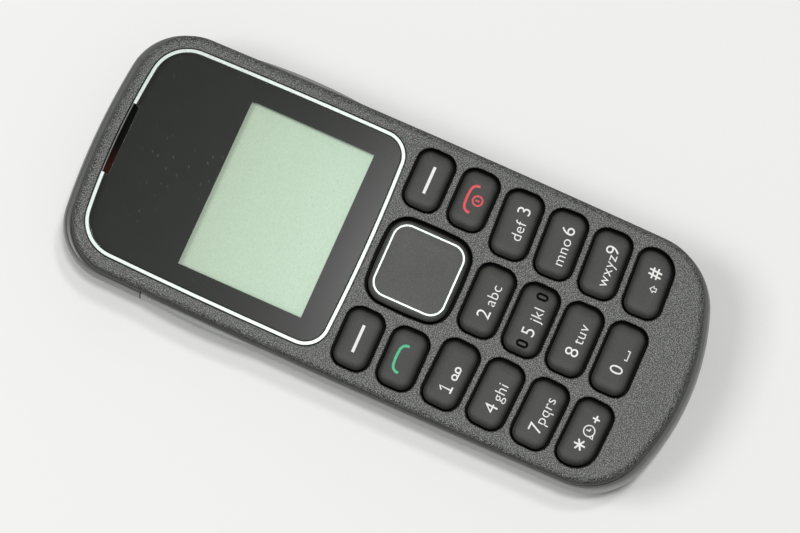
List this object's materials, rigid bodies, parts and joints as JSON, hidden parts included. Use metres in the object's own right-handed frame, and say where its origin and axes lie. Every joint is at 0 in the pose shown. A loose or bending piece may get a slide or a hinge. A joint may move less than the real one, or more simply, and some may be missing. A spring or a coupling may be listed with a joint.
{
  "type": "feature phone",
  "caption": "Candy-bar feature phone with a small display behind a rounded window, rubber keys in a textured grey cover and a sliding battery cover.",
  "frame": {"origin": "on the surface the phone lies on, under the middle of its outline", "axes": "+X the phone's right as its user sees it, +Y towards the earpiece end, +Z out of the display"},
  "size_m": [0.045, 0.1072, 0.0152],
  "materials": {
    "cover_plastic": "moulded, fine spark-eroded grain",
    "shell_plastic": "moulded, smooth satin",
    "key_rubber": "matt silicone rubber",
    "mat_rubber": "matt silicone rubber",
    "chassis_plastic": "moulded",
    "clear_window": "clear polished acrylic",
    "mask_ink": "black print",
    "bright_trim": "bright silver",
    "fine_mesh": "dark woven mesh",
    "lcd": "reflective liquid crystal display",
    "white_plastic": "moulded",
    "foam": "closed-cell foam",
    "foil": "adhesive film",
    "circuit_board": "solder-masked laminate",
    "plain_steel": "drawn sheet",
    "socket_plastic": "moulded",
    "gold_metal": "gold plated",
    "clear_lens": "clear moulded lens",
    "led": "encapsulated",
    "battery_can": "wrapped can"
  },
  "bodies": {
    "phone": {"front_cover": "cover_plastic", "top_cap": "shell_plastic", "keypad_mat": "mat_rubber", "chassis": "chassis_plastic", "display_window": "clear_window", "window_mask": "mask_ink", "window_trim": "bright_trim", "earpiece_mesh": "fine_mesh", "lcd_glass": "lcd", "lcd_frame": "white_plastic", "key_lights": "white_plastic", "lcd_gasket": "foam", "speaker_gasket": "foam", "dome_sheet": "foil", "main_board": "circuit_board", "dome_switches": "plain_steel", "shield_cans": "plain_steel", "microphone": "plain_steel", "earpiece_receiver": "plain_steel", "vibration_motor": "plain_steel", "sim_holder": "plain_steel", "screws": "plain_steel", "charger_socket": "socket_plastic", "headset_socket": "socket_plastic", "loudspeaker": "socket_plastic", "antenna": "gold_metal", "battery_contacts": "gold_metal", "torch_lens": "clear_lens", "torch_led": "led", "battery": "battery_can"},
    "key_1": {"key_1": "key_rubber"},
    "key_2": {"key_2": "key_rubber"},
    "key_3": {"key_3": "key_rubber"},
    "key_4": {"key_4": "key_rubber"},
    "key_5": {"key_5": "key_rubber"},
    "key_6": {"key_6": "key_rubber"},
    "key_7": {"key_7": "key_rubber"},
    "key_8": {"key_8": "key_rubber"},
    "key_9": {"key_9": "key_rubber"},
    "key_star": {"key_star": "key_rubber"},
    "key_0": {"key_0": "key_rubber"},
    "key_hash": {"key_hash": "key_rubber"},
    "key_soft_left": {"key_soft_left": "key_rubber"},
    "key_soft_right": {"key_soft_right": "key_rubber"},
    "key_call": {"key_call": "key_rubber"},
    "key_end": {"key_end": "key_rubber"},
    "nav_post": {"nav_key_stem": "mat_rubber"},
    "nav_rocker": {"nav_key": "key_rubber", "nav_key_trim": "bright_trim"},
    "vibration_rotor": {"vibration_weight": "plain_steel"},
    "rear_slide": {"battery_cover": "shell_plastic"}
  },
  "joints": [
    {"name": "key_1_press", "type": "slide", "parent": "phone", "child": "key_1", "axis": [0, 0, -1], "range_m": [0, 0.0004], "stiffness_N_per_m": 2500},
    {"name": "key_2_press", "type": "slide", "parent": "phone", "child": "key_2", "axis": [0, 0, -1], "range_m": [0, 0.0004], "stiffness_N_per_m": 2500},
    {"name": "key_3_press", "type": "slide", "parent": "phone", "child": "key_3", "axis": [0, 0, -1], "range_m": [0, 0.0004], "stiffness_N_per_m": 2500},
    {"name": "key_4_press", "type": "slide", "parent": "phone", "child": "key_4", "axis": [0, 0, -1], "range_m": [0, 0.0004], "stiffness_N_per_m": 2500},
    {"name": "key_5_press", "type": "slide", "parent": "phone", "child": "key_5", "axis": [0, 0, -1], "range_m": [0, 0.0004], "stiffness_N_per_m": 2500},
    {"name": "key_6_press", "type": "slide", "parent": "phone", "child": "key_6", "axis": [0, 0, -1], "range_m": [0, 0.0004], "stiffness_N_per_m": 2500},
    {"name": "key_7_press", "type": "slide", "parent": "phone", "child": "key_7", "axis": [0, 0, -1], "range_m": [0, 0.0004], "stiffness_N_per_m": 2500},
    {"name": "key_8_press", "type": "slide", "parent": "phone", "child": "key_8", "axis": [0, 0, -1], "range_m": [0, 0.0004], "stiffness_N_per_m": 2500},
    {"name": "key_9_press", "type": "slide", "parent": "phone", "child": "key_9", "axis": [0, 0, -1], "range_m": [0, 0.0004], "stiffness_N_per_m": 2500},
    {"name": "key_star_press", "type": "slide", "parent": "phone", "child": "key_star", "axis": [0, 0, -1], "range_m": [0, 0.0004], "stiffness_N_per_m": 2500},
    {"name": "key_0_press", "type": "slide", "parent": "phone", "child": "key_0", "axis": [0, 0, -1], "range_m": [0, 0.0004], "stiffness_N_per_m": 2500},
    {"name": "key_hash_press", "type": "slide", "parent": "phone", "child": "key_hash", "axis": [0, 0, -1], "range_m": [0, 0.0004], "stiffness_N_per_m": 2500},
    {"name": "key_soft_left_press", "type": "slide", "parent": "phone", "child": "key_soft_left", "axis": [0, 0, -1], "range_m": [0, 0.0004], "stiffness_N_per_m": 2500},
    {"name": "key_soft_right_press", "type": "slide", "parent": "phone", "child": "key_soft_right", "axis": [0, 0, -1], "range_m": [0, 0.0004], "stiffness_N_per_m": 2500},
    {"name": "key_call_press", "type": "slide", "parent": "phone", "child": "key_call", "axis": [0, 0, -1], "range_m": [0, 0.0004], "stiffness_N_per_m": 2500},
    {"name": "key_end_press", "type": "slide", "parent": "phone", "child": "key_end", "axis": [0, 0, -1], "range_m": [0, 0.0004], "stiffness_N_per_m": 2500},
    {"name": "nav_tilt_up_down", "type": "hinge", "parent": "phone", "child": "nav_post", "pos_m": [0, -0.00435, 0.012], "axis": [1, 0, 0], "range_deg": [-2.5, 2.5], "stiffness_Nm_per_rad": 0.1},
    {"name": "nav_tilt_left_right", "type": "hinge", "parent": "nav_post", "child": "nav_rocker", "pos_m": [0, -0.00435, 0.012], "axis": [0, 1, 0], "range_deg": [-2.5, 2.5], "stiffness_Nm_per_rad": 0.1},
    {"name": "vibration_spin", "type": "hinge", "parent": "phone", "child": "vibration_rotor", "pos_m": [0.015, 0.0424, 0.0053], "axis": [0, 1, 0], "continuous": true},
    {"name": "battery_cover_slide", "type": "slide", "parent": "phone", "child": "rear_slide", "axis": [0, -1, 0], "range_m": [0, 0.09]}
  ]
}
